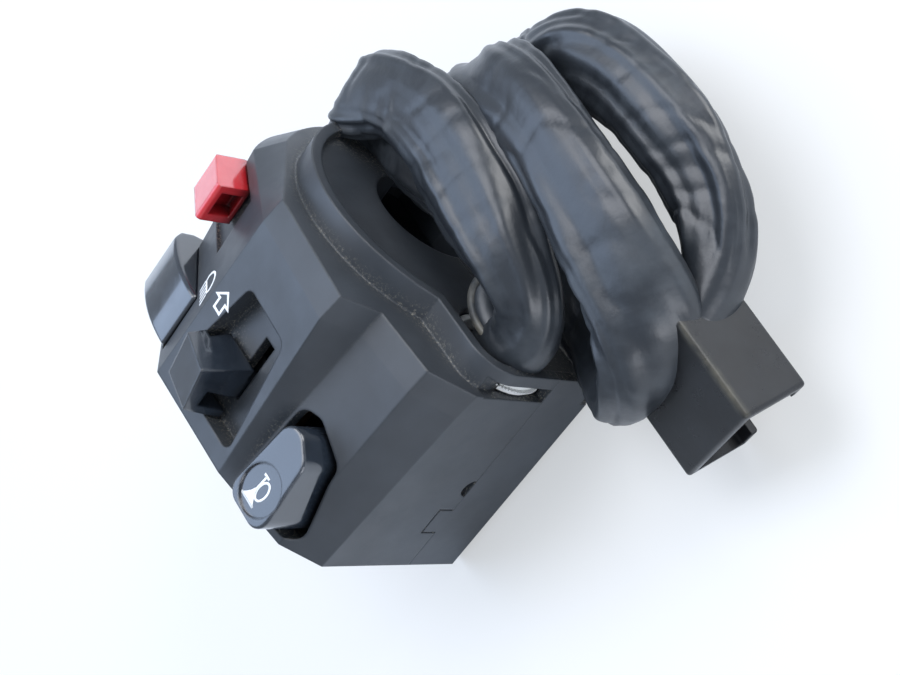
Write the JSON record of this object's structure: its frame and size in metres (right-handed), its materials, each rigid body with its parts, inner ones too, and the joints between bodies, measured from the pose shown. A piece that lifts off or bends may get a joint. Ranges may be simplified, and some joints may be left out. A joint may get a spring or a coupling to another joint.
{
  "type": "handlebar switch cluster",
  "caption": "Left-hand motorcycle handlebar switch cluster with hazard slider, turn signal slider, horn button, dip paddle and a coiled harness",
  "frame": {"origin": "on the handlebar's axis, at the inner face of the web behind the mouth", "axes": "X along the handlebar away from the grip, Y up on the bike, Z towards the rider"},
  "size_m": [0.1017, 0.1115, 0.0543],
  "materials": {
    "casing_plastic": "satin moulded",
    "gloss_black": "gloss",
    "red_plastic": "semi gloss",
    "slide_plastic": "black acetal",
    "board_plastic": "moulded phenolic",
    "contact_brass": "bright",
    "steel": "zinc plated",
    "white_nylon": "natural nylon",
    "sleeve_vinyl": "soft sheen vinyl",
    "connector_plastic": "moulded"
  },
  "bodies": {
    "casing": {"front_casing": "casing_plastic", "rear_casing": "casing_plastic", "casing_screws": "steel", "hazard_base": "board_plastic", "turn_base": "board_plastic", "horn_spring": "steel", "horn_fixed_contacts": "contact_brass", "horn_base": "board_plastic", "dip_lever_pin": "steel", "dip_spring": "steel", "dip_contact_leaf": "contact_brass", "dip_base": "board_plastic", "harness_tie": "white_nylon", "harness_lead": "sleeve_vinyl", "harness_coil": "sleeve_vinyl", "harness_tail": "sleeve_vinyl", "connector_housing": "connector_plastic", "connector_terminals": "contact_brass", "connector_latch": "connector_plastic"},
    "hazard_slider": {"hazard_knob": "red_plastic", "hazard_carriage": "slide_plastic", "hazard_contact": "contact_brass", "hazard_detent_ball": "steel", "hazard_detent_spring": "steel"},
    "turn_slider": {"turn_carriage": "slide_plastic", "turn_contact": "contact_brass", "turn_detent_ball": "steel", "turn_detent_spring": "steel", "turn_cancel_spring": "steel"},
    "turn_cap": {"turn_knob": "gloss_black"},
    "horn_push": {"horn_button": "gloss_black", "horn_contact_bridge": "contact_brass"},
    "dip_paddle": {"dip_lever": "gloss_black"}
  },
  "joints": [
    {"name": "hazard_slide", "type": "slide", "parent": "casing", "child": "hazard_slider", "axis": [-1, 0, 0], "range_m": [0, 0.003]},
    {"name": "turn_slide", "type": "slide", "parent": "casing", "child": "turn_slider", "axis": [1, 0, 0], "range_m": [0, 0.0075]},
    {"name": "turn_cancel", "type": "slide", "parent": "turn_slider", "child": "turn_cap", "axis": [0, 0, -1], "range_m": [0, 0.0006], "stiffness_N_per_m": 800, "springref_m": -0.0005, "deforming": ["turn_cancel_spring"]},
    {"name": "horn_press", "type": "slide", "parent": "casing", "child": "horn_push", "axis": [0, 0, -1], "range_m": [0, 0.002], "stiffness_N_per_m": 800, "springref_m": -0.001, "deforming": ["horn_spring"]},
    {"name": "dip_swing", "type": "hinge", "parent": "casing", "child": "dip_paddle", "pos_m": [-0.0381, 0.0122, 0.0246], "axis": [-1, 0, 0], "range_deg": [0, 8], "stiffness_Nm_per_rad": 0.15, "springref_deg": -2.86, "deforming": ["dip_spring"]}
  ]
}
